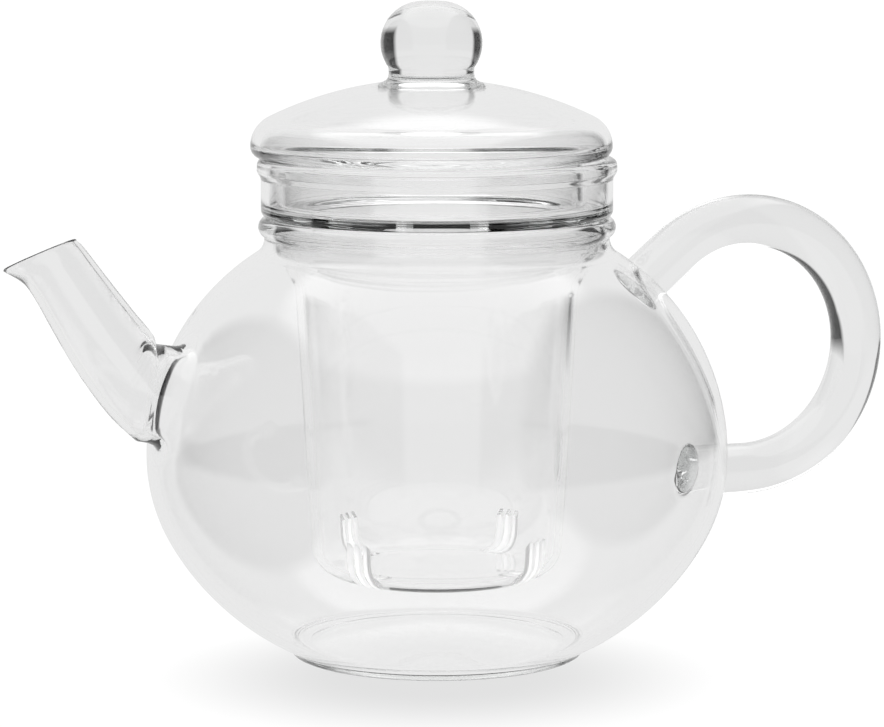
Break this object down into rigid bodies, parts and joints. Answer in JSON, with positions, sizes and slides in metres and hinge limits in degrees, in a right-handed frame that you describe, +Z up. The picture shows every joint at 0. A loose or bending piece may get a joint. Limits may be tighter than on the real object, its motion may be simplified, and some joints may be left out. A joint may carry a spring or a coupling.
{
  "type": "glass teapot with infuser",
  "caption": "Round clear glass teapot with a loop handle, an upswept spout, a lift-out glass infuser and a domed lid with a ball knob.",
  "frame": {"origin": "on the pot's axis, on the surface that it stands on", "axes": "+Z up along the pot's axis, +X towards the handle, -X towards the spout, +Y completes the right-handed frame"},
  "size_m": [0.2396, 0.1468, 0.165],
  "materials": {
    "clear_glass": "fire polished clear borosilicate",
    "infuser_glass": "clear borosilicate with frosted saw cuts",
    "lid_glass": "fire polished clear borosilicate"
  },
  "bodies": {
    "pot": {"pot_body": "clear_glass", "pour_spout": "clear_glass", "loop_handle": "clear_glass"},
    "infuser": {"infuser": "infuser_glass"},
    "lid": {"lid_dome": "lid_glass", "lid_knob": "lid_glass"}
  },
  "joints": [
    {"name": "infuser_lift", "type": "slide", "parent": "pot", "child": "infuser", "axis": [0, 0, 1], "range_m": [0, 0.13]},
    {"name": "lid_lift", "type": "slide", "parent": "infuser", "child": "lid", "axis": [0, 0, 1], "range_m": [0, 0.06]}
  ]
}
